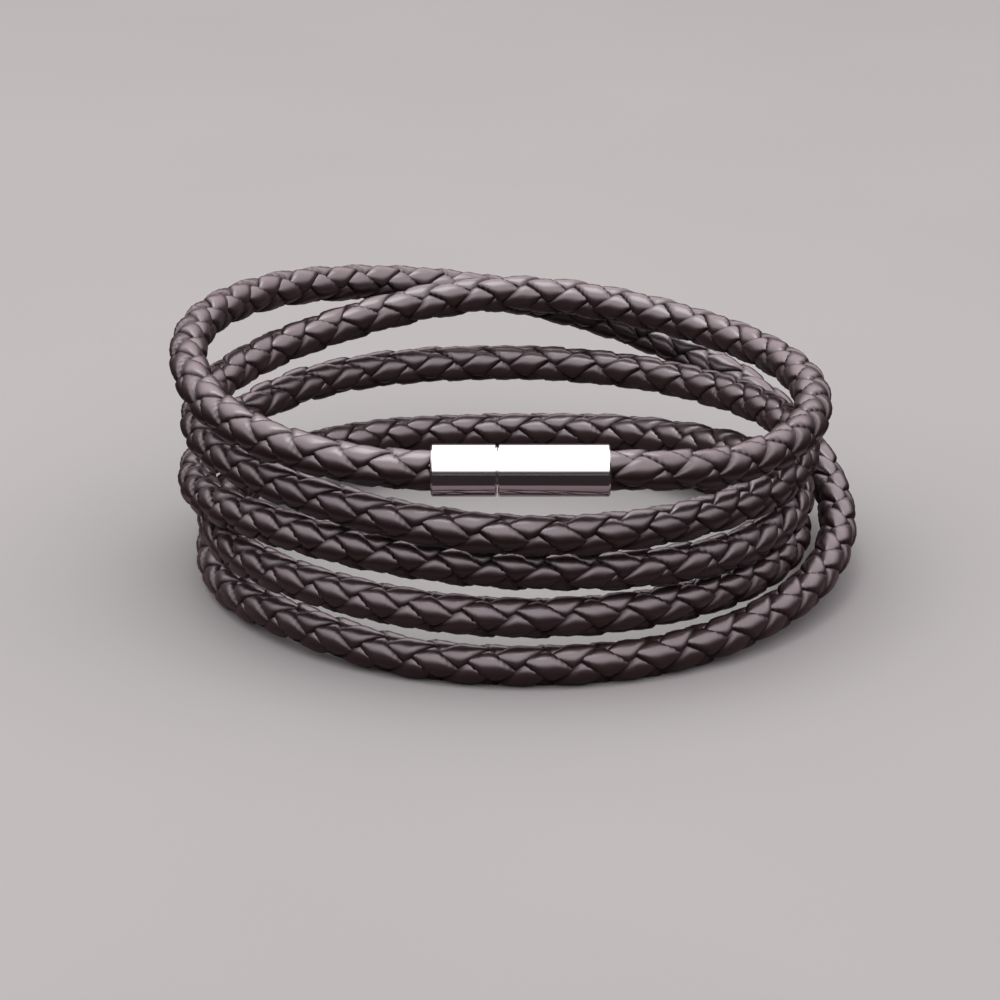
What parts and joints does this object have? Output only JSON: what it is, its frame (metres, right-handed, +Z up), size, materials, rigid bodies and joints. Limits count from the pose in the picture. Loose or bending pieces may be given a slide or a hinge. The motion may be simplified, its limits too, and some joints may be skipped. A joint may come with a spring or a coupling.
{
  "type": "layered braided leather bracelet",
  "caption": "Long round braided leather cord wound into a wrist coil and closed in front by a magnetic tube clasp.",
  "frame": {"origin": "under the middle of the whole bracelet, on the surface that it stands on", "axes": "+Z up along the axis of the coil, -Y towards the clasp, +X to the right as seen from the clasp"},
  "size_m": [0.0694, 0.069, 0.0254],
  "materials": {
    "leather": "dark brown satin leather laces, plaited round",
    "steel": "polished stainless steel",
    "magnet": "plain nickel-plated magnet, hidden"
  },
  "bodies": {
    "root": {"cord": "leather", "clasp_short": "steel", "clasp_long": "steel", "clasp_magnet": "magnet"}
  },
  "joints": []
}
